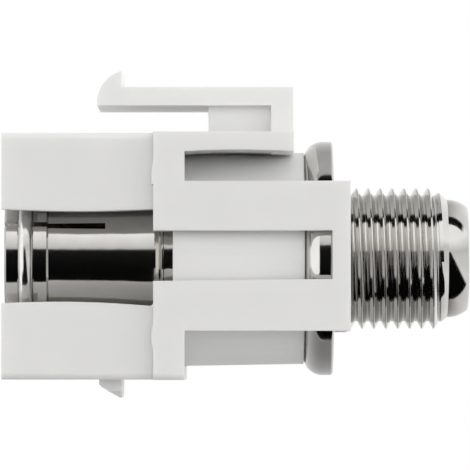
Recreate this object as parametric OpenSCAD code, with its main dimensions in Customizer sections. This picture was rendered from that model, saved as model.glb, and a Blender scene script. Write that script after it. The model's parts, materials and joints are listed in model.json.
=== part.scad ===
// Keystone coaxial module: a screw-on F port at the rear, a push-on aerial socket at the front.
// X runs along the coax axis, from the panel stop at 0 towards the F port. Z is up and Y is across.

/* [Housing] */
// Width of the front box
box_w = 14.5; // [14.2:0.1:15]
// Height of the front box
box_h = 16.1; // [15.7:0.02:16.4]
// Radius of the box's long corners
box_corner_r = 0.45; // [0.2:0.05:1]
// Distance from the panel stop to the front face
front_reach = 9.8; // [9:0.01:11]
// Distance from the panel stop to the rear end, where the metal flange seats
rear_reach = 9.99; // [9.4:0.01:11]
// Length of the neck that the collar slides over
neck_len = 1.26; // [1:0.02:1.7]
// Diameter of the round barrel where it leaves the neck
barrel_d = 14.35; // [13.8:0.05:14.7]
// How much thinner the barrel is at its rear end
barrel_draft = 0.3; // [0:0.05:0.5]
// Height of the side windows at the front face
window_h = 6.13; // [5:0.01:7]
// How far the long edges of a window bow into it
window_bow = 0.13; // [0:0.01:0.3]
// How much lower a window's bottom edge ends at its rear
window_drop = 0.19; // [0:0.01:0.4]
// Radius of a window's upper rear corner
window_top_r = 0.13; // [0.05:0.01:0.3]
// Radius of a window's lower rear corner
window_bottom_r = 0.3; // [0.1:0.02:0.6]

/* [Hook] */
// Width of the fixed hook under the box
hook_w = 8; // [3:0.1:9]
// Width of the hook's tip, between its slanted sides
hook_tip_w = 3.6; // [2:0.1:8]
// Depth below the box at which the hook's sides start to slant
hook_side = 0.75; // [0.4:0.05:0.9]
// Length of the hook along the box
hook_len = 1.49; // [1:0.05:2.5]
// How far the hook reaches below the box
hook_drop = 1.2; // [1:0.02:2]
// Height of the hook's upright front edge
hook_lip = 0.32; // [0.2:0.02:0.8]
// Length of the blunt bevel between the upright edge and the ramp
hook_bevel = 0.2; // [0.1:0.02:0.5]
// Length of the flat at the hook's tip
hook_flat = 0.18; // [0.1:0.02:0.5]
// Gap between the catches and the panel stop, for the panel's edge
panel_gap = 2.02; // [1.5:0.01:3]

/* [Latch clip] */
// Width over the two side walls
clip_w = 17; // [16.9:0.1:18]
// Thickness of the collar above and below the neck
collar_wall = 0.85; // [0.6:0.01:1]
// Length of the collar
collar_len = 2.15; // [1.6:0.01:2.6]
// How far the stop pads stand out of the collar
pad_proud = 0.12; // [0.1:0.02:0.4]
// Height of a stop pad
pad_h = 1.38; // [0.8:0.02:2]
// Length of the slant at a stop pad's outer end
pad_slant = 0.34; // [0.1:0.02:0.6]
// Distance from the axis to the middle of a stop pad
pad_z = 5.34; // [4.4:0.02:6]
// Height over the outer edges of the two fingers of a side
finger_span = 9.74; // [8.6:0.02:10.4]
// Height of the slot between two fingers
slot_h = 3.28; // [2.4:0.02:4]
// How much the slot's lower edge rises towards the jaws
slot_rise = 0.13; // [0:0.01:0.4]
// Thickness of the jaws that close behind the flange
jaw_t = 1; // [0.6:0.02:1.4]
// How far the slot stops ahead of the jaws
slot_stop = 0.18; // [0.1:0.02:0.6]
// Width of the open space between the left and right jaws' tips
jaw_split = 5; // [3:0.1:7]
// Distance from the panel stop to the rear end of the top plate
plate_reach = 9.26; // [8.6:0.01:9.4]
// Height of the top plate's side edges at their ends
plate_edge = 1.28; // [1:0.02:1.5]
// How far the lower line of the plate's side edges arches up
plate_bow = 0.11; // [0.02:0.01:0.3]

/* [Latch] */
// Width of the latch arm
latch_w = 9.2; // [5:0.1:10]
// Thickness of the latch arm
arm_t = 1.21; // [0.9:0.01:1.5]
// Gap between the top plate and the arm
arm_gap = 1.9; // [1.4:0.02:2.6]
// Thickness of the upright that carries the arm
upright_t = 1.46; // [1.1:0.02:2.2]
// Radius of the arm's rounded nose
nose_arc_r = 2.2; // [1.8:0.02:2.3]
// How far the nose reaches ahead of the catch's face
nose_reach = 1.64; // [1.4:0.02:1.8]
// Height of the nose arc's centre above the arm's underside
nose_lift = 0.14; // [0:0.01:0.4]
// Width of the rib between the arm and the top plate
rib_w = 7; // [2:0.1:9]
// Length of the rib between the arm and the top plate
rib_len = 4.12; // [2:0.02:6]

/* [Connector body] */
// Diameter over the thread's crests
thread_d = 9.36; // [9.2:0.02:9.5]
// Distance from the flange to the end of the thread
thread_len = 7.2; // [6:0.05:9]
// Length of the plain relief between the flange and the thread
relief_len = 0.94; // [0.6:0.02:1.4]
// Depth of the relief below the thread's crests
relief_depth = 0.5; // [0.3:0.02:0.6]
// Length of the short cone between the relief and the thread
relief_cone = 0.2; // [0.1:0.02:0.5]
// Length of the cone between the thread and the nose
cone_len = 0.4; // [0.2:0.05:0.8]
// Diameter of the nose behind its tip
nose_d = 7.84; // [7.4:0.02:8.2]
// How much thinner the arched nose is at its tip
nose_taper = 1.06; // [0.4:0.02:1.4]
// Length of the nose
nose_len = 1.4; // [1:0.05:3]
// Diameter of the flange
flange_d = 15.55; // [15.4:0.05:15.8]
// Thickness of the flange
flange_t = 1.94; // [1.6:0.02:2.4]
// Radius of the flange's front edge
flange_round = 1.25; // [0.8:0.05:1.5]
// Radius of the flange's rear edge
flange_edge_r = 0.2; // [0.1:0.02:0.35]
// Wall of the land that sits in the housing's bore, outside the sleeve's press seat
land_wall = 0.97; // [0.9:0.01:1.1]
// Wall of the body's front lip, outside the sleeve's press seat
lip_wall = 0.7; // [0.55:0.01:0.8]
// Distance from the panel stop to the front of the lip
lip_x = 0.56; // [0.4:0.01:0.7]
// Length of the front lip
lip_len = 0.38; // [0.3:0.02:0.6]
// Depth and width of the fine groove in the lip, and size of its front bevel
lip_groove = 0.08; // [0.04:0.01:0.12]
// Depth of the neck behind the lip
lip_step = 0.2; // [0.1:0.02:0.3]
// Diameter of the chamber inside the body
chamber_d = 7; // [6.4:0.1:7.4]
// Diameter of the mouth of the nose
mouth_d = 5.8; // [5.2:0.1:6.2]
// Length of the mouth of the nose
mouth_len = 2.9; // [2:0.1:4]

/* [Socket sleeve] */
// Outer diameter of the slotted sleeve
sleeve_d = 10.6; // [10.4:0.02:10.7]
// Wall of the sleeve, outside the bore that the mating plug's shell slides into
sleeve_wall = 0.54; // [0.4:0.01:0.7]
// How far the sleeve ends behind the housing's front face
sleeve_setback = 0.1; // [0:0.05:0.6]
// How far the raised rim at the sleeve's mouth stands out of the sleeve
rim_height = 0.25; // [0.15:0.01:0.35]
// Length of the raised rim
rim_len = 2.88; // [2.2:0.02:3.4]
// Bevel at the rim's two edges
rim_bevel = 0.12; // [0.05:0.01:0.2]
// Depth of the lead-in cone at the sleeve's mouth
lead_in = 0.3; // [0.1:0.02:0.36]
// Length of the bevel ahead of the body's lip
sleeve_bevel = 0.33; // [0.2:0.01:0.5]
// How much smaller the press seat's radius is than the sleeve's
seat_step = 0.25; // [0.15:0.01:0.35]
// Distance from the sleeve's mouth to the middle of the ring groove
groove_at = 1.38; // [1:0.02:1.5]
// Width of the ring groove
groove_w = 1.04; // [1:0.02:1.2]
// Depth of the ring groove below the rim
groove_depth = 0.5; // [0.4:0.01:0.55]
// Width of a slit at its inner end
slit_w = 0.42; // [0.2:0.02:0.8]
// Width of a slit at the sleeve's mouth, where the ring squeezes it
slit_mouth_w = 0.26; // [0.1:0.02:0.6]
// Length of the slits
slit_len = 6.62; // [4:0.02:7.5]
// Number of slits
slit_count = 4; // [2:1:8]
// Angle of the first slit above the left-hand side
slit_angle = 22.5; // [0:0.5:45]
// Wire diameter of the spring ring
wire_d = 0.95; // [0.8:0.01:0.98]
// Opening of the spring ring, in degrees
ring_gap = 24; // [10:1:60]

/* [Contacts and insulators] */
// Bore of the centre socket, for the mating plug's pin
pin_d = 2.4; // [2.2:0.02:2.5]
// Outer diameter of the centre socket
contact_d = 3.6; // [3.3:0.05:4]
// How far the centre socket ends inside the sleeve's mouth
contact_setback = 0.9; // [0.4:0.05:2]
// Depth of the centre socket's bore
pin_depth = 6.6; // [5:0.1:7]
// Length of the centre socket's slits
pin_slit_len = 4.2; // [3:0.1:4.6]
// Width of the centre socket's slits
pin_slit_w = 0.3; // [0.2:0.02:0.4]
// How far the contact's thick part ends ahead of the boss's rear end
thick_end = 1; // [0.5:0.1:1.5]
// Diameter of the rear stem of the centre contact
stem_d = 2; // [1.6:0.05:2.4]
// Thickness of the front insulator's disc
disc_t = 1.5; // [1:0.1:2]
// Distance from the disc's rear face to the sleeve's rear bevel
disc_margin = 0.5; // [0.3:0.05:1]
// Length of the front insulator's boss
boss_len = 4.2; // [3:0.1:4.5]
// Wall of the sleeve's press seat, outside the boss
seat_wall = 0.85; // [0.6:0.05:1.1]
// Diameter of the guide hole for the cable's centre wire
guide_d = 1.3; // [1.1:0.05:1.5]
// Length of the guide hole
guide_len = 0.7; // [0.5:0.05:1.2]
// How much wider the funnel's mouth is than the guide hole, on each side
funnel_flare = 0.8; // [0.4:0.05:1]
// Depth of the funnel ahead of the guide hole
funnel_len = 0.6; // [0.3:0.05:1]
// Length of the nose insulator
insulator_len = 7.6; // [6.5:0.1:8.5]
// Depth of the nose insulator's face inside the nose
insulator_setback = 0.3; // [0:0.05:0.8]
// Diameter of the spring contact's cavity
cavity_d = 3.2; // [3:0.05:3.6]
// Length of the contact's collar in that cavity
contact_collar = 1.6; // [1:0.1:2.4]
// Thickness of the spring contact's sheet
leaf_t = 0.2; // [0.15:0.01:0.25]
// Width of the spring contact's leaves
leaf_w = 1.5; // [1:0.05:1.8]
// Gap between the leaves where they grip
leaf_grip = 0.3; // [0.2:0.02:0.5]
// Length of the leaves' straight roots
leaf_root = 0.6; // [0.4:0.05:1]
// Length of the leaves' flared mouth
leaf_mouth = 0.65; // [0.4:0.05:0.9]
// How far each leaf flares out at its mouth
leaf_flare = 0.35; // [0.2:0.05:0.45]
// Gap between the leaves' mouth and the end of the cavity
leaf_end_gap = 0.25; // [0.1:0.05:0.4]

/* [Fits] */
// Clearance where plastic slides over plastic
slide_gap = 0.05; // [0.02:0.01:0.1]
// Clearance round the metal body in the housing and in the jaws
body_gap = 0.08; // [0.04:0.01:0.12]
// Clearance at a press seat
seat_gap = 0.02; // [0:0.01:0.03]
// Clearance round the thread in the jaws
thread_gap = 0.17; // [0.1:0.01:0.3]
// Clearance round the sleeve's rim in the housing
rim_gap = 0.1; // [0.06:0.01:0.2]
// Clearance round and behind the spring ring in the housing, and round the body's lip
ring_clearance = 0.3; // [0.2:0.05:0.35]

/* [Hidden] */
$fn = 96;
cut = 0.5;

// Stations along the axis
box_front = -front_reach;
collar_front = pad_proud;
collar_rear = collar_len;
neck_rear = collar_front + neck_len;
flange_front = rear_reach;
flange_rear = flange_front + flange_t;
jaw_front = flange_rear + seat_gap;
jaw_rear = jaw_front + jaw_t;
slot_rear = jaw_front - slot_stop;
thread_end = flange_front + flange_t + thread_len;
nose_start = thread_end + cone_len;
nose_end = nose_start + nose_len;

// Diameters that follow the sleeve
socket_d = sleeve_d - 2 * sleeve_wall;
seat_d = sleeve_d - 2 * seat_step;
rim_d = sleeve_d + 2 * rim_height;
groove_d = rim_d - 2 * groove_depth;
ring_d = groove_d + 2 * wire_d;
lip_d = seat_d + 2 * lip_wall;
land_d = seat_d + 2 * land_wall;

// Housing and clip, as distances from the axis
neck_half_h = barrel_d / 2 - seat_gap;
front_bore_r = ring_d / 2 + ring_clearance;
sleeve_bore_r = rim_d / 2 + rim_gap;
rear_bore_r = land_d / 2 + body_gap;
clip_in_half_w = box_w / 2 + slide_gap;
clip_in_half_h = barrel_d / 2 + slide_gap;
clip_half_h = clip_in_half_h + collar_wall;
plate_bottom = clip_half_h - plate_edge;
arm_bottom = clip_half_h + arm_gap;
arm_top = arm_bottom + arm_t;

// Sleeve, contact and insulators
sleeve_front = box_front + sleeve_setback;
seat_end = lip_x + boss_len;
groove_x = sleeve_front + groove_at;
wire_centre_r = (ring_d - wire_d) / 2;
ring_room_end = groove_x + wire_d / 2 + ring_clearance;
boss_r = seat_d / 2 - seat_wall;
disc_rear = lip_x - sleeve_bevel - disc_margin;
disc_front = disc_rear - disc_t;
contact_front = sleeve_front + contact_setback;
insulator_front = nose_end - insulator_setback;
insulator_rear = insulator_front - insulator_len;
mouth_x = nose_end - mouth_len;
guide_end = insulator_front - funnel_len;
cavity_end = guide_end - guide_len;
collar_end = insulator_rear + contact_collar;

abs_white = [0.93, 0.93, 0.92];
nickel = [0.76, 0.75, 0.73];
spring_steel = [0.7, 0.7, 0.7];
insulator_white = [0.96, 0.95, 0.92];
contact_gold = [0.83, 0.72, 0.45];

// A cylinder or cone along the axis, between two stations
module x_rod(x0, x1, r0, r1) {
    translate([x0, 0, 0])
        rotate([0, 90, 0])
            cylinder(h = x1 - x0, r1 = r0, r2 = r1);
}

// A bore along the axis, between two stations
module x_bore(x0, x1, r) {
    x_rod(x0, x1, r, r);
}

// A turned piece: its half section has the station as x and the radius as y
module turned() {
    rotate([0, 90, 0])
        rotate_extrude()
            rotate(90)
                mirror([0, 1, 0])
                    children();
}

// A cross-section swept along the axis, drawn with Y to the right and Z up
module x_prism(x0, x1) {
    translate([x0, 0, 0])
        rotate([90, 0, 90])
            linear_extrude(x1 - x0)
                children();
}

// A side outline swept across the part, drawn with X to the right and Z up
module y_prism(width) {
    rotate([90, 0, 0])
        linear_extrude(width, center = true)
            children();
}

// A rectangle with round corners
module round_rect(w, h, r) {
    square([w - 2 * r, h], center = true);
    square([w, h - 2 * r], center = true);
    for (y = [-1, 1], z = [-1, 1])
        translate([y * (w / 2 - r), z * (h / 2 - r)])
            circle(r);
}

// A box between two corners
module block(low, high) {
    translate(low)
        cube(high - low);
}

// The open side window: its long edges bow inwards and the lower one drops at its rear
module window_outline() {
    steps = 12;
    span = collar_front - box_front;
    low = -window_h / 2 - window_drop;
    top = [for (i = [0:steps]) let (t = i / steps)
        [box_front + t * span, window_h / 2 - window_bow * sin(180 * t)]];
    bottom = [for (i = [steps:-1:0]) let (t = i / steps)
        [box_front + t * span, -window_h / 2 + window_bow * sin(180 * t) - window_drop * t * t]];
    difference() {
        polygon(concat(top, bottom));
        corner_waste([collar_front - window_top_r, window_h / 2 - window_top_r], window_top_r, 1);
        mirror([0, 1])
            corner_waste([collar_front - window_bottom_r, -low - window_bottom_r], window_bottom_r, 1);
    }
    translate([box_front - cut, -window_h / 2])
        square([2 * cut, window_h]);
    slot_outline(collar_front - cut, neck_rear);
}

// The long slot at the axis between two stations: its lower edge rises towards the jaws
module slot_outline(x0, x1) {
    rise = slot_rise / (slot_rear - collar_front);
    polygon([[x0, slot_h / 2], [x1, slot_h / 2],
             [x1, -slot_h / 2 + rise * (x1 - collar_front)], [x0, -slot_h / 2 + rise * (x0 - collar_front)]]);
}

// The fixed hook: upright at the front, a ramp down to the tip and an upright face towards the stop
module hook_outline() {
    base = -box_h / 2 + cut;
    tip = -box_h / 2 - hook_drop;
    lip = -box_h / 2 - hook_lip;
    face = -panel_gap;
    front = face - hook_len;
    polygon([[front, base], [front, lip], [front + hook_bevel, lip - hook_bevel],
             [face - hook_flat, tip], [face, tip], [face, base]]);
}

// The hook from the front: its sides slant in towards the tip
module hook_front() {
    base = -box_h / 2 + cut;
    side = -box_h / 2 - hook_side;
    tip = -box_h / 2 - hook_drop;
    polygon([[-hook_w / 2, base], [-hook_w / 2, side], [-hook_tip_w / 2, tip],
             [hook_tip_w / 2, tip], [hook_w / 2, side], [hook_w / 2, base]]);
}

module housing() {
    color(abs_white)
        difference() {
            union() {
                x_prism(box_front, collar_front)
                    round_rect(box_w, box_h, box_corner_r);
                x_prism(collar_front, neck_rear)
                    round_rect(box_w, 2 * neck_half_h, box_corner_r);
                x_rod(neck_rear, flange_front, barrel_d / 2, (barrel_d - barrel_draft) / 2);
                intersection() {
                    y_prism(hook_w + 2 * cut)
                        hook_outline();
                    x_prism(box_front, collar_front)
                        hook_front();
                }
            }
            x_bore(box_front - cut, ring_room_end, front_bore_r);
            x_bore(box_front - cut, neck_rear, sleeve_bore_r);
            x_bore(collar_front, neck_rear, front_bore_r);
            x_bore(neck_rear - cut, flange_front + cut, rear_bore_r);
            y_prism(box_w + 2 * cut)
                window_outline();
        }
}

// The latch: a rounded nose with its catch, the arm and the upright, as one outline
module latch_outline() {
    nose_centre = [-panel_gap - nose_reach + nose_arc_r, arm_bottom + nose_lift];
    translate([-panel_gap, arm_bottom])
        square([plate_reach + panel_gap, arm_t]);
    translate([plate_reach - upright_t, plate_bottom])
        square([upright_t, arm_top - plate_bottom]);
    intersection() {
        translate(nose_centre)
            circle(nose_arc_r);
        translate([-panel_gap - 2 * nose_arc_r, arm_bottom])
            square([2 * nose_arc_r, 2 * nose_arc_r]);
    }
}

// A stop pad from the side: its outer end slants back to the collar
module pad_outline() {
    polygon([[0, -pad_h / 2], [0, pad_h / 2 - pad_slant], [collar_front, pad_h / 2],
             [collar_front + cut, pad_h / 2], [collar_front + cut, -pad_h / 2]]);
}

// One side's collar wall, pads, fingers and jaw, before the clearances are cut
module clip_side() {
    wall_in = clip_in_half_w;
    wall_out = clip_w / 2;
    for (side = [0, 1])
        mirror([0, 0, side])
            translate([0, (wall_in + wall_out) / 2, pad_z])
                y_prism(wall_out - wall_in)
                    pad_outline();
    block([collar_front, wall_in, -finger_span / 2], [jaw_rear, wall_out, finger_span / 2]);
    block([slot_rear, jaw_split / 2, -finger_span / 2], [jaw_rear, wall_out, finger_span / 2]);
}

// The top plate from the side: its lower line arches up between the collar and the upright
module plate_outline() {
    half = (plate_reach - collar_rear) / 2;
    bow_r = (half * half + plate_bow * plate_bow) / (2 * plate_bow);
    difference() {
        translate([collar_front, plate_bottom])
            square([plate_reach - collar_front, plate_edge]);
        intersection() {
            translate([collar_rear + half, plate_bottom + plate_bow - bow_r])
                circle(bow_r, $fn = 720);
            translate([collar_rear, plate_bottom - cut])
                square([2 * half + cut, plate_edge]);
        }
    }
}

module collar_section() {
    difference() {
        round_rect(clip_w, 2 * clip_half_h, box_corner_r);
        square([2 * clip_in_half_w, 2 * clip_in_half_h], center = true);
    }
}

module latch_clip() {
    color(abs_white)
        difference() {
            union() {
                x_prism(collar_front, collar_rear)
                    collar_section();
                for (side = [0, 1])
                    mirror([0, side, 0])
                        clip_side();
                y_prism(clip_w)
                    plate_outline();
                y_prism(latch_w)
                    latch_outline();
                block([plate_reach - upright_t - rib_len, -rib_w / 2, plate_bottom + plate_bow],
                      [plate_reach, rib_w / 2, arm_bottom + cut]);
            }
            block([-cut, -clip_in_half_w, -clip_in_half_h], [neck_rear, clip_in_half_w, clip_in_half_h]);
            x_bore(neck_rear - cut, flange_front, barrel_d / 2 + slide_gap);
            x_bore(flange_front - 2 * body_gap, jaw_front, flange_d / 2 + body_gap);
            x_bore(jaw_front - cut, jaw_rear + cut, thread_d / 2 + thread_gap);
            y_prism(2 * clip_w)
                slot_outline(-cut, slot_rear);
        }
}

// The metal body: front lip, land, flange, thread at its crest diameter and arched nose
module connector_body() {
    color(nickel)
        difference() {
            union() {
                turned()
                    body_outline();
                turned()
                    flange_outline();
                turned()
                    nose_outline();
            }
            x_bore(lip_x - cut, seat_end, seat_d / 2 + seat_gap);
            x_bore(seat_end - cut, mouth_x, chamber_d / 2);
            x_bore(mouth_x - cut, nose_end + cut, mouth_d / 2);
        }
}

module body_outline() {
    lip_r = lip_d / 2;
    groove_r = lip_r - lip_groove;
    neck_r = lip_r - lip_step;
    land_r = land_d / 2;
    land_bevel = land_r - neck_r;
    lip_mid = lip_x + lip_len / 2;
    polygon([[lip_x, 0], [lip_x, groove_r], [lip_x + lip_groove, lip_r],
             [lip_mid - lip_groove / 2, lip_r], [lip_mid, groove_r],
             [lip_mid + lip_groove / 2, lip_r], [lip_x + lip_len, lip_r],
             [lip_x + lip_len, neck_r], [neck_rear, neck_r], [neck_rear + land_bevel, land_r],
             [flange_front + cut, land_r], [flange_front + cut, 0]]);
}

// What a round corner takes off: the square outside a quarter circle, pointing to +X or -X and +Y
module corner_waste(centre, r, direction) {
    difference() {
        translate([direction > 0 ? centre[0] : centre[0] - 2 * r, centre[1]])
            square(2 * r);
        translate(centre)
            circle(r);
    }
}

// The flange's half section: a large round at its front edge and a small one at its rear
module flange_outline() {
    r = flange_d / 2;
    difference() {
        translate([flange_front, 0])
            square([flange_t, r]);
        corner_waste([flange_front + flange_round, r - flange_round], flange_round, -1);
        corner_waste([flange_rear - flange_edge_r, r - flange_edge_r], flange_edge_r, 1);
    }
}

// The relief, the thread at its crest diameter, the cone behind it and the nose that arches down to its tip
module nose_outline() {
    relief_r = thread_d / 2 - relief_depth;
    thread_x = flange_rear + relief_len;
    arch_drop = nose_taper / 2;
    arch_r = (nose_len * nose_len + arch_drop * arch_drop) / (2 * arch_drop);
    difference() {
        polygon([[flange_rear - cut, 0], [flange_rear - cut, relief_r], [thread_x - relief_cone, relief_r],
                 [thread_x, thread_d / 2], [thread_end, thread_d / 2], [nose_start, nose_d / 2],
                 [nose_end, nose_d / 2], [nose_end, 0]]);
        corner_waste([nose_start, nose_d / 2 - arch_r], arch_r, 1);
    }
}

// The slits that split the sleeve into springy petals: each narrows towards the mouth
module slits() {
    mouth = sleeve_front - cut;
    end = sleeve_front + slit_len;
    for (i = [0:slit_count - 1])
        rotate([i * 360 / slit_count - slit_angle, 0, 0])
            rotate([90, 0, 0])
                linear_extrude(rim_d)
                    polygon([[mouth, -slit_mouth_w / 2], [end, -slit_w / 2],
                             [end, slit_w / 2], [mouth, slit_mouth_w / 2]]);
}

// The sleeve's half section: beveled rim with the ring groove, plain tube, rear bevel and press seat
module sleeve_outline() {
    rim_rear = sleeve_front + rim_len;
    rim_r = rim_d / 2;
    groove_r = groove_d / 2;
    groove_front = groove_x - groove_w / 2;
    groove_rear = groove_x + groove_w / 2;
    polygon([[sleeve_front, 0], [sleeve_front, rim_r - rim_bevel], [sleeve_front + rim_bevel, rim_r],
             [groove_front, rim_r], [groove_front, groove_r], [groove_rear, groove_r],
             [groove_rear, rim_r], [rim_rear - rim_bevel, rim_r], [rim_rear, sleeve_d / 2],
             [lip_x - sleeve_bevel, sleeve_d / 2], [lip_x, seat_d / 2],
             [seat_end, seat_d / 2], [seat_end, 0]]);
}

module socket_sleeve() {
    color(nickel)
        difference() {
            turned()
                sleeve_outline();
            x_bore(sleeve_front - cut, disc_rear, socket_d / 2);
            x_rod(sleeve_front - lead_in, sleeve_front + lead_in, socket_d / 2 + lead_in, socket_d / 2);
            x_bore(disc_rear - cut, seat_end + cut, boss_r);
            slits();
        }
}

// The round wire ring that squeezes the slit sleeve, open at the top
module spring_ring() {
    color(spring_steel)
        translate([groove_x, 0, 0])
            rotate([0, 90, 0])
                rotate([0, 0, 180 + ring_gap / 2])
                    rotate_extrude(angle = 360 - ring_gap)
                        translate([wire_centre_r, 0])
                            circle(d = wire_d);
}

// The front insulator: a disc behind the socket and a boss in the sleeve's press seat
module socket_insulator() {
    color(insulator_white)
        difference() {
            union() {
                x_bore(disc_front, disc_rear, socket_d / 2 - seat_gap);
                x_bore(disc_rear - cut, seat_end, boss_r - seat_gap);
            }
            x_bore(disc_front - cut, seat_end - thick_end, contact_d / 2 + seat_gap);
            x_bore(disc_front, seat_end + cut, stem_d / 2 + seat_gap);
        }
}

// The nose insulator: a shoulder in the chamber, a plug in the mouth, a funnel and a guide hole
module nose_insulator() {
    guide_r = guide_d / 2;
    color(insulator_white)
        difference() {
            union() {
                x_bore(insulator_rear, mouth_x, chamber_d / 2 - seat_gap);
                x_bore(mouth_x - cut, insulator_front, mouth_d / 2 - seat_gap);
            }
            x_bore(insulator_rear - cut, cavity_end, cavity_d / 2);
            x_bore(cavity_end - cut, insulator_front, guide_r);
            x_rod(guide_end, insulator_front + cut, guide_r,
                  guide_r + funnel_flare * (funnel_len + cut) / funnel_len);
        }
}

// The turned centre contact: a slit socket at the front, a stem and a collar that carries the leaves
module centre_contact() {
    color(contact_gold)
        difference() {
            union() {
                x_bore(contact_front, seat_end - thick_end, contact_d / 2);
                x_bore(seat_end - thick_end - cut, collar_end, stem_d / 2);
                x_bore(insulator_rear, collar_end, cavity_d / 2 - seat_gap);
            }
            x_bore(contact_front - cut, contact_front + pin_depth, pin_d / 2);
            for (turn = [0, 90])
                rotate([turn, 0, 0])
                    block([contact_front - cut, -contact_d, -pin_slit_w / 2],
                          [contact_front + pin_slit_len, contact_d, pin_slit_w / 2]);
        }
}

// One leaf's centre line from the base to its flared mouth, as distances from the axis
function leaf_line(offset) =
    let (root = stem_d / 2 - leaf_t, grip = leaf_grip / 2, flare_x = cavity_end - leaf_end_gap)
    [[collar_end + offset, root + offset], [collar_end + leaf_root, root + offset],
     [flare_x - leaf_mouth, grip + offset], [flare_x, grip + leaf_flare + offset]];

// A line's points in the opposite order, on the other side of the axis
function far_side(line) = [for (i = [len(line) - 1:-1:0]) [line[i][0], -line[i][1]]];

// The folded spring contact: a base on the collar and two leaves that close on the wire
module spring_contact() {
    inner = leaf_line(0);
    outer = leaf_line(leaf_t);
    shift = [leaf_t, 0];
    inside = concat([inner[0] + shift], [for (i = [1:3]) inner[i]]);
    outside = concat([outer[0] - shift], [for (i = [1:3]) outer[i]]);
    color(contact_gold)
        rotate([-90, 0, 0])
            y_prism(leaf_w)
                polygon(concat(outside, [for (i = [3:-1:0]) inside[i]],
                               [for (i = [0:3]) [inside[i][0], -inside[i][1]]], far_side(outside)));
}

housing();
latch_clip();
connector_body();
socket_sleeve();
spring_ring();
socket_insulator();
nose_insulator();
centre_contact();
spring_contact();
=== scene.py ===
"""Looks of a keystone coaxial module.

The housing and its clip are moulded white plastic, the connector is bright nickel with a helical F thread,
and a light tent stands round them.
"""
import json
import math

import bmesh
import bpy
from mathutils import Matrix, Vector


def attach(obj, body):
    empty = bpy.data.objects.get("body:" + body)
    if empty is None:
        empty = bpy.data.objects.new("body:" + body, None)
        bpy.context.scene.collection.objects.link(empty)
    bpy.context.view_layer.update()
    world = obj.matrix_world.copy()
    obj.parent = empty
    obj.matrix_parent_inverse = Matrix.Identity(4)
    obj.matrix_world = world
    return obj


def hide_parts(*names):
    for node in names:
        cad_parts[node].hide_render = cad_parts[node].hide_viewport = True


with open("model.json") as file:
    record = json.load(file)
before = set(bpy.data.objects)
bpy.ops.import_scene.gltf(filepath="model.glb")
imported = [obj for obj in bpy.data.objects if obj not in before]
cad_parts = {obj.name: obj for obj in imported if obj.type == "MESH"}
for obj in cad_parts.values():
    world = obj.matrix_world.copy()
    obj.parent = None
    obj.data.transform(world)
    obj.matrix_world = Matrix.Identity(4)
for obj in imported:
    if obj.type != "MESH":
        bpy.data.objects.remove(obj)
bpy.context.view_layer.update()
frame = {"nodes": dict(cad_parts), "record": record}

MM = 0.001


# Camera: square to the object's side, a little below its axis

CAMERA_AT = Vector((5.434, -325, -7)) * MM
AIM_AT = Vector((5.434, 0, 1.563)) * MM
# What the frame takes in at the coax axis
VIEW_WIDTH = 31.333 * MM
NEAREST_SEEN = 10 * MM
FURTHEST_SEEN = 20000 * MM


def make_camera():
    camera = bpy.data.objects.new("camera", bpy.data.cameras.new("camera"))
    bpy.context.scene.collection.objects.link(camera)
    sight = AIM_AT - CAMERA_AT
    camera.location = CAMERA_AT
    camera.rotation_euler = sight.to_track_quat("-Z", "Y").to_euler()
    camera.data.lens = camera.data.sensor_width * sight.length / VIEW_WIDTH
    camera.data.clip_start = NEAREST_SEEN
    camera.data.clip_end = FURTHEST_SEEN
    bpy.context.scene.camera = camera


# Node helpers: each value may be a number, a colour or another node's output socket

def feed(tree, socket, value):
    """Links another node's output to a socket, or stores a plain value in it."""
    if isinstance(value, bpy.types.NodeSocket):
        tree.links.new(value, socket)
    else:
        socket.default_value = value


def set_inputs(tree, node, **inputs):
    """Feeds a node's inputs, which are named with _ for each space."""
    for name, value in inputs.items():
        feed(tree, node.inputs[name.replace("_", " ")], value)


def add_node(tree, kind, **inputs):
    node = tree.nodes.new(kind)
    set_inputs(tree, node, **inputs)
    return node


def math_node(tree, operation, *values):
    """The result of a Math node."""
    node = tree.nodes.new("ShaderNodeMath")
    node.operation = operation
    for socket, value in zip(node.inputs, values):
        feed(tree, socket, value)
    return node.outputs[0]


def ramp(tree, value, low, high):
    """A straight line through two (value, result) points, held level outside them."""
    node = add_node(tree, "ShaderNodeMapRange", Value=value)
    set_inputs(tree, node, From_Min=low[0], From_Max=high[0], To_Min=low[1], To_Max=high[1])
    return node.outputs["Result"]


def above(tree, value, edge, softness):
    """1 where the value is above the edge, 0 below, with a soft step between."""
    return ramp(tree, value, (edge - softness, 0), (edge + softness, 1))


def below(tree, value, edge, softness):
    """1 where the value is below the edge, 0 above, with a soft step between."""
    return math_node(tree, "SUBTRACT", 1, above(tree, value, edge, softness))


def curve(tree, value, points):
    """Straight lines through (value, result) points, held level outside them."""
    result = points[0][1]
    for low, high in zip(points, points[1:]):
        rise = ramp(tree, value, (low[0], 0), (high[0], high[1] - low[1]))
        result = math_node(tree, "ADD", rise, result)
    return result


def blend(tree, factor, a, b):
    """a where the factor is 0 and b where it is 1."""
    return add_node(tree, "ShaderNodeMix", Factor=factor, A=a, B=b).outputs["Result"]


# Materials

# The stretch of a noise's values over which a tint turns from dark to light
TINT_FROM = 0.3
TINT_TO = 0.7


def new_material(name):
    material = bpy.data.materials.new(name)
    material.use_nodes = True
    tree = material.node_tree
    return material, tree, tree.nodes["Principled BSDF"]


def noise(tree, per_mm, detail=2, stretch=(1, 1, 1)):
    """Noise in the object's own coordinates, with about per_mm grains to the millimetre."""
    place = add_node(tree, "ShaderNodeTexCoord").outputs["Object"]
    scaled = add_node(tree, "ShaderNodeMapping", Vector=place, Scale=stretch).outputs["Vector"]
    node = add_node(tree, "ShaderNodeTexNoise", Vector=scaled, Scale=per_mm / MM, Detail=detail)
    return node.outputs["Fac"]


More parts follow.
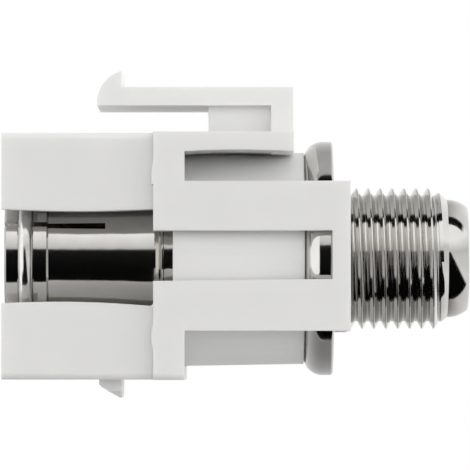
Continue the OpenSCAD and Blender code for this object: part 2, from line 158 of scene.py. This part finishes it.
def tinted(tree, factor, dark, light):
    """A colour that wanders between two tones with the factor."""
    node = add_node(tree, "ShaderNodeValToRGB", Fac=factor)
    first, last = node.color_ramp.elements
    first.position, first.color = TINT_FROM, (*dark, 1)
    last.position, last.color = TINT_TO, (*light, 1)
    return node.outputs["Color"]


def bump(tree, height, depth, under=None):
    """The normal of a bump of the given depth, in millimetres, laid over another bump if there is one."""
    node = add_node(tree, "ShaderNodeBump", Height=height, Distance=depth * MM, Strength=1.0)
    if under is not None:
        set_inputs(tree, node, Normal=under)
    return node.outputs["Normal"]


def white_plastic():
    """Moulded ABS: nearly even, satin, with a very fine grain."""
    material, tree, shader = new_material("white_plastic")
    mottle = noise(tree, per_mm=0.35, detail=3)
    colour = tinted(tree, mottle, dark=(0.843, 0.840, 0.828), light=(0.857, 0.854, 0.842))
    grain = bump(tree, noise(tree, per_mm=9, detail=3), depth=0.0015)
    set_inputs(tree, shader, Base_Color=colour, Normal=grain, Roughness=0.42, IOR=1.52)
    set_inputs(tree, shader, Subsurface_Weight=0.6, Subsurface_Scale=0.6 * MM)
    set_inputs(tree, shader, Subsurface_Radius=(1.0, 0.95, 0.9))
    return material


def nickel():
    """Bright nickel plate over turned brass: reflections that waver a little, and faint turning lines."""
    material, tree, shader = new_material("nickel_plate")
    stain = noise(tree, per_mm=0.8, detail=4)
    colour = tinted(tree, stain, dark=(0.585, 0.572, 0.548), light=(0.625, 0.615, 0.592))
    waver = bump(tree, noise(tree, per_mm=1.1), depth=0.006)
    turning = bump(tree, noise(tree, per_mm=3, stretch=(8, 0.4, 0.4)), depth=0.0003, under=waver)
    set_inputs(tree, shader, Base_Color=colour, Normal=turning, Metallic=1.0, Roughness=0.09)
    return material


def spring_wire():
    """Drawn bright wire, a little duller than the plate."""
    material, tree, shader = new_material("spring_wire")
    stain = noise(tree, per_mm=2, detail=3)
    colour = tinted(tree, stain, dark=(0.60, 0.59, 0.57), light=(0.68, 0.67, 0.65))
    set_inputs(tree, shader, Base_Color=colour, Metallic=1.0, Roughness=0.16)
    return material


def insulator():
    """Turned acetal: a little warmer than the housing, with faint tool marks."""
    material, tree, shader = new_material("insulator")
    mottle = noise(tree, per_mm=0.8)
    colour = tinted(tree, mottle, dark=(0.74, 0.72, 0.67), light=(0.79, 0.77, 0.73))
    marks = bump(tree, noise(tree, per_mm=5), depth=0.002)
    set_inputs(tree, shader, Base_Color=colour, Normal=marks, Roughness=0.38)
    return material


def contact_plate():
    """Gold-coloured plate on the contacts."""
    material, tree, shader = new_material("contact_plate")
    stain = noise(tree, per_mm=1.5, detail=3)
    colour = tinted(tree, stain, dark=(0.66, 0.47, 0.16), light=(0.74, 0.55, 0.22))
    set_inputs(tree, shader, Base_Color=colour, Metallic=1.0, Roughness=0.22)
    return material


FINISHES = {
    "white_plastic": white_plastic(),
    "nickel_plate": nickel(),
    "spring_wire": spring_wire(),
    "insulator": insulator(),
    "contact_plate": contact_plate(),
}


def finish_nodes():
    """Each CAD node takes the finish of its material slot in the record."""
    for part in frame["record"]["subparts"]:
        node = frame["nodes"][part["node"]]
        node.data.materials.clear()
        node.data.materials.append(FINISHES[part["material_slot"]])


# Rounded edges on the mouldings

MOULDINGS = ("housing", "latch_clip")
EDGE_R = 0.16 * MM
EDGE_SEGMENTS = 3
# Edges that turn by more than this are rounded
ROUNDED_ANGLE = math.radians(40)
# Facets that turn by less than this are joined, and corners that lie nearer than this
FLAT_ANGLE = math.radians(0.4)
WELD_GAP = 0.0005 * MM


def round_edges(node):
    """Joins the flat facets, then rounds the sharp edges."""
    weld = node.modifiers.new("weld", "WELD")
    weld.merge_threshold = WELD_GAP
    flat = node.modifiers.new("flat", "DECIMATE")
    flat.decimate_type = "DISSOLVE"
    flat.angle_limit = FLAT_ANGLE
    edge = node.modifiers.new("edge", "BEVEL")
    edge.width = EDGE_R
    edge.segments = EDGE_SEGMENTS
    edge.limit_method = "ANGLE"
    edge.angle_limit = ROUNDED_ANGLE
    edge.use_clamp_overlap = True
    edge.harden_normals = True


# The metal body with its helical thread

TURN_STEPS = 192
ARC_STEPS = 8
JOIN_GAP = 0.0004 * MM
# Edges that turn by more than this stay sharp
SHARP_ANGLE = math.radians(35)

# Stations and radii of the body, in millimetres, as in the part's source
LIP_AT = 0.56
LIP_LENGTH = 0.38
LIP_R = 5.75
LIP_GROOVE = 0.08
NECK_R = 5.55
LAND_AT = 1.38
LAND_R = 6.02
FLANGE_AT = 9.99
FLANGE_END = 11.93
FLANGE_R = 7.775
FLANGE_ROUND = 1.25
FLANGE_EDGE = 0.2
RELIEF_END = 12.67
THREAD_AT = 12.87
CHAMFER_AT = 18.68
NOSE_AT = 19.53
NOSE_END = 20.93
NOSE_R = 3.92
NOSE_ARC = 2.11
TIP_ROUND = 0.25
MOUTH_R = 2.9
MOUTH_AT = 18.03
CHAMBER_R = 3.5
SEAT_R = 5.07
SEAT_END = 4.76

# The 3/8-32 thread: CREST_AT is a crest's station at the top, and CREST_SHARE its flat's share of both flats
PITCH = 25.4 / 32
CREST_AT = 13.501
CREST_R = 4.68
ROOT_R = 4.193
FLANK_ANGLE = math.radians(30)
CREST_SHARE = 0.4
CREST_ROUND = 0.05
ROOT_ROUND = 0.09


def arc(centre, radius, start, stop, steps=ARC_STEPS):
    """Points (station, radius) round a centre, from start to stop in degrees: 0 is along +X, 90 outwards."""
    angles = [math.radians(start + (stop - start) * i / steps) for i in range(steps + 1)]
    return [(centre[0] + radius * math.cos(a), centre[1] + radius * math.sin(a)) for a in angles]


def ring_point(x, r, turn):
    """A point in metres on the ring at station x: turn 0 is at the top, and 0.25 on the camera's side."""
    angle = 2 * math.pi * turn
    return Vector((x, -r * math.sin(angle), r * math.cos(angle))) * MM


def ring_rows(mesh, profile):
    """One ring of vertices for each point of a profile; its last vertex meets its first."""
    turns = [k / TURN_STEPS for k in range(TURN_STEPS + 1)]
    return [[mesh.verts.new(ring_point(x, r, turn)) for turn in turns] for x, r in profile]


def join_rows(mesh, rows):
    """Faces between each row of vertices and the next."""
    for a, b in zip(rows, rows[1:]):
        for k in range(TURN_STEPS):
            mesh.faces.new((a[k], a[k + 1], b[k + 1], b[k]))


def thread_section():
    """One pitch of the 60 degree profile, crest to crest, as (fraction of the pitch, radius)."""
    bend = math.pi / 2 - FLANK_ANGLE
    turned = math.degrees(bend)
    flats = PITCH - 2 * (CREST_R - ROOT_R) * math.tan(FLANK_ANGLE)
    crest_flat = flats * CREST_SHARE
    root_flat = flats - crest_flat
    # Where a round meets its flat: short of the sharp corner by the round's tangent length
    crest_x = crest_flat / 2 - CREST_ROUND * math.tan(bend / 2)
    root_x = PITCH / 2 - root_flat / 2 + ROOT_ROUND * math.tan(bend / 2)
    down = arc((crest_x, CREST_R - CREST_ROUND), CREST_ROUND, 90, 90 - turned)
    up = arc((root_x, ROOT_R + ROOT_ROUND), ROOT_ROUND, 270 - turned, 270)
    side = down + up
    mirrored = [(PITCH - x, r) for x, r in reversed(side)]
    return [(x / PITCH, r) for x, r in side + mirrored]


def thread_envelope(x):
    """The largest radius at a station: the relief's cone at the front and the chamfer at the rear."""
    opening = (x - RELIEF_END) / (THREAD_AT - RELIEF_END)
    closing = (NOSE_AT - x) / (NOSE_AT - CHAMFER_AT)
    return min(CREST_R, ROOT_R + (CREST_R - ROOT_R) * opening, NOSE_R + (CREST_R - NOSE_R) * closing)


def thread_rows(mesh):
    """Rows that climb one pitch a turn, held between the relief and the nose, where they close to rings."""
    section = thread_section()
    first = math.floor((RELIEF_END - CREST_AT) / PITCH) - 1
    last = math.ceil((NOSE_AT - CREST_AT) / PITCH)
    rows = []
    for crest in range(first, last + 1):
        for fraction, radius in section:
            row = []
            for k in range(TURN_STEPS + 1):
                turn = k / TURN_STEPS
                x = CREST_AT + PITCH * (crest + fraction + turn)
                x = min(max(x, RELIEF_END), NOSE_AT)
                row.append(mesh.verts.new(ring_point(x, min(radius, thread_envelope(x)), turn)))
            rows.append(row)
    return rows


def front_profile():
    """From the press seat's mouth over the lip, the land and the flange to the end of the relief."""
    lip_mid = LIP_AT + LIP_LENGTH / 2
    lip_end = LIP_AT + LIP_LENGTH
    front_centre = (FLANGE_AT + FLANGE_ROUND, FLANGE_R - FLANGE_ROUND)
    rear_centre = (FLANGE_END - FLANGE_EDGE, FLANGE_R - FLANGE_EDGE)
    flange_front = arc(front_centre, FLANGE_ROUND, 180, 90, 3 * ARC_STEPS)
    flange_rear = arc(rear_centre, FLANGE_EDGE, 90, 0)
    return [
        (LIP_AT, SEAT_R), (LIP_AT, LIP_R - LIP_GROOVE), (LIP_AT + LIP_GROOVE, LIP_R),
        (lip_mid - LIP_GROOVE / 2, LIP_R), (lip_mid, LIP_R - LIP_GROOVE), (lip_mid + LIP_GROOVE / 2, LIP_R),
        (lip_end, LIP_R), (lip_end, NECK_R), (LAND_AT, NECK_R), (LAND_AT + LAND_R - NECK_R, LAND_R),
        (FLANGE_AT, LAND_R), *flange_front, *flange_rear, (FLANGE_END, ROOT_R), (RELIEF_END, ROOT_R),
    ]


def rear_profile():
    """From the thread's end over the nose and back through the bores to the press seat's mouth."""
    centre = (NOSE_AT, NOSE_R - NOSE_ARC)
    # The edge's round touches the arch from inside, its centre TIP_ROUND ahead of the nose's end
    reach = NOSE_END - TIP_ROUND - NOSE_AT
    lean = math.degrees(math.acos(reach / (NOSE_ARC - TIP_ROUND)))
    rise = math.sqrt((NOSE_ARC - TIP_ROUND) ** 2 - reach ** 2)
    arch = arc(centre, NOSE_ARC, 90, lean, 2 * ARC_STEPS)
    tip = arc((NOSE_END - TIP_ROUND, centre[1] + rise), TIP_ROUND, lean, 0)
    return [
        *arch, *tip, (NOSE_END, MOUTH_R), (MOUTH_AT, MOUTH_R), (MOUTH_AT, CHAMBER_R),
        (SEAT_END, CHAMBER_R), (SEAT_END, SEAT_R), (LIP_AT, SEAT_R),
    ]


def to_object(name, mesh, slot):
    """Joins what coincides and makes the mesh a smooth piece whose corners stay sharp."""
    bmesh.ops.remove_doubles(mesh, verts=mesh.verts, dist=JOIN_GAP)
    bmesh.ops.recalc_face_normals(mesh, faces=mesh.faces)
    data = bpy.data.meshes.new(name)
    mesh.to_mesh(data)
    mesh.free()
    data.shade_smooth()
    data.set_sharp_from_angle(angle=SHARP_ANGLE)
    data.materials.append(FINISHES[slot])
    piece = bpy.data.objects.new(name, data)
    bpy.context.scene.collection.objects.link(piece)
    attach(piece, "root")
    return piece


def make_threaded_body():
    mesh = bmesh.new()
    rows = ring_rows(mesh, front_profile()) + thread_rows(mesh) + ring_rows(mesh, rear_profile())
    join_rows(mesh, rows)
    body = to_object("threaded_body", mesh, "nickel_plate")
    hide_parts("connector_body")


# Studio: x, forward and z are the parts of a direction of length 1, with forward towards the camera

# Half the width of the soft step between front, the camera's side, and the back
HORIZON = 0.03

# The light that falls on the object, by the z of its direction: most of it comes level from the camera's side
FRONT_LIGHT = [(-1, 0.4), (-0.55, 0.38), (-0.15, 0.85), (0.2, 2.1), (0.55, 0.35), (1, 0.92)]
BACK_LIGHT = [(-0.1, 0.9), (0.1, 1.12)]
# What the camera's side has more or less than that, by x
SIDE_LIGHT = [(-0.8, -0.2), (-0.4, 0), (0.4, 0), (0.8, 0.2)]

# What bright metal reflects from behind the object, by z, and what the right adds to it, by x
SWEEP = [(-1, 0.27), (-0.1, 0.72), (0.1, 0.95), (0.8, 0.52), (1, 0.56)]
SWEEP_RIGHT = [(0.06, 0), (0.45, 0.45)]
# What it reflects from the camera's side, by z, and from the wall at the left there, by x over forward
WALL = [(-0.4, 1.0), (0.1, 0.85), (0.2, 0.76), (0.55, 1.28)]
LEFT_WALL = [(-0.75, 1.38), (-0.5, 1.25), (-0.42, 0)]
# What forward is at least, where x is divided by it
LEAST_FORWARD = 0.001

# How much of the light the black cards take, and their edges on the camera's side, as (place, softness)
DARKNESS = 0.997
# The card ahead: its top by z, its left edge by x over forward at each z, its right by z + AHEAD_SLANT * x
AHEAD_TOP = (0.206, 0.012)
AHEAD_LEFT = [(-0.35, -1.4), (-0.25, -0.5)]
AHEAD_LEFT_SOFTNESS = 0.04
AHEAD_SLANT = 1.12
AHEAD_RIGHT = (0.37, 0.03)
# The card below the object: its edge by z
UNDER_EDGE = (-0.6, 0.02)
# The card overhead: its near edge by forward over z, and its ends by the size of x
OVERHEAD_REACH = 0.384
OVERHEAD_SOFTNESS = 0.02
OVERHEAD_END = (0.7, 0.05)


def black_cards(tree, x, z, forward, aside):
    """1 where a black card is: ahead round the camera, below the object and overhead."""
    past_left = math_node(tree, "SUBTRACT", aside, curve(tree, z, AHEAD_LEFT))
    slanted = math_node(tree, "ADD", z, math_node(tree, "MULTIPLY", x, AHEAD_SLANT))
    left_part = above(tree, past_left, 0, AHEAD_LEFT_SOFTNESS)
    ahead = math_node(tree, "MULTIPLY", left_part, below(tree, slanted, *AHEAD_RIGHT))
    ahead = math_node(tree, "MULTIPLY", ahead, below(tree, z, *AHEAD_TOP))
    under = below(tree, z, *UNDER_EDGE)
    height = math_node(tree, "SUBTRACT", math_node(tree, "MULTIPLY", z, OVERHEAD_REACH), forward)
    between_ends = below(tree, math_node(tree, "ABSOLUTE", x), *OVERHEAD_END)
    overhead = math_node(tree, "MULTIPLY", above(tree, height, 0, OVERHEAD_SOFTNESS), between_ends)
    return math_node(tree, "MAXIMUM", ahead, math_node(tree, "MAXIMUM", under, overhead))


def mirrored_light(tree, x, z, forward, front):
    """What bright metal reflects: a tent with black cards, which give the metal its shape."""
    aside = math_node(tree, "DIVIDE", x, math_node(tree, "MAXIMUM", forward, LEAST_FORWARD))
    sweep = math_node(tree, "ADD", curve(tree, z, SWEEP), ramp(tree, x, *SWEEP_RIGHT))
    wall = math_node(tree, "MAXIMUM", curve(tree, z, WALL), curve(tree, aside, LEFT_WALL))
    cards = math_node(tree, "MULTIPLY", black_cards(tree, x, z, forward, aside), front)
    lit = math_node(tree, "SUBTRACT", 1, math_node(tree, "MULTIPLY", cards, DARKNESS))
    return math_node(tree, "MULTIPLY", blend(tree, front, sweep, wall), lit)


def falling_light(tree, x, z, front):
    """What lights the object, softly and from all round."""
    facing = math_node(tree, "ADD", curve(tree, z, FRONT_LIGHT), curve(tree, x, SIDE_LIGHT))
    return blend(tree, front, curve(tree, z, BACK_LIGHT), facing)


def make_world():
    """White to the camera, plain light on the object, and a tent with black cards in its reflections."""
    world = bpy.data.worlds.new("studio")
    bpy.context.scene.world = world
    world.use_nodes = True
    tree = world.node_tree
    tree.nodes.clear()
    way = add_node(tree, "ShaderNodeTexCoord").outputs["Generated"]
    x, y, z = add_node(tree, "ShaderNodeSeparateXYZ", Vector=way).outputs
    forward = math_node(tree, "MULTIPLY", y, -1)
    front = above(tree, forward, 0, HORIZON)
    falling = falling_light(tree, x, z, front)
    mirrored = mirrored_light(tree, x, z, forward, front)
    ray = add_node(tree, "ShaderNodeLightPath").outputs
    on_object = blend(tree, ray["Is Glossy Ray"], falling, mirrored)
    strength = blend(tree, ray["Is Camera Ray"], on_object, 1.0)
    light = add_node(tree, "ShaderNodeBackground", Color=(1, 1, 1, 1), Strength=strength)
    add_node(tree, "ShaderNodeOutputWorld", Surface=light.outputs["Background"])


FLOOR_Z = -40 * MM
FLOOR_RADIUS = 3000 * MM
FLOOR_CORNERS = 96
# The distances from the floor's middle between which it turns pure white
FADE_FROM = 80 * MM
FADE_TO = 350 * MM


def floor_material():
    """Pale and matt, and pure white far off."""
    material, tree, shader = new_material("floor")
    set_inputs(tree, shader, Base_Color=(0.93, 0.93, 0.93, 1), Roughness=0.8)
    place = add_node(tree, "ShaderNodeTexCoord").outputs["Object"]
    distance = add_node(tree, "ShaderNodeVectorMath", Vector=place)
    distance.operation = "LENGTH"
    far = ramp(tree, distance.outputs["Value"], (FADE_FROM, 0), (FADE_TO, 1))
    white = add_node(tree, "ShaderNodeEmission", Color=(1, 1, 1, 1), Strength=1.0)
    mix = add_node(tree, "ShaderNodeMixShader", Fac=far)
    feed(tree, mix.inputs[1], shader.outputs["BSDF"])
    feed(tree, mix.inputs[2], white.outputs["Emission"])
    set_inputs(tree, tree.nodes["Material Output"], Surface=mix.outputs["Shader"])
    return material


def make_floor():
    """A pale floor, left out of reflections and of the light that bounces onto the object."""
    bpy.ops.mesh.primitive_circle_add(
        vertices=FLOOR_CORNERS, radius=FLOOR_RADIUS, fill_type="NGON", location=(0, 0, FLOOR_Z))
    floor = bpy.context.object
    floor.name = "floor"
    floor.visible_glossy = False
    floor.visible_diffuse = False
    floor.data.materials.append(floor_material())


make_camera()
finish_nodes()
for name in MOULDINGS:
    round_edges(frame["nodes"][name])
make_threaded_body()
make_world()
make_floor()
bpy.context.scene.view_settings.view_transform = "Standard"
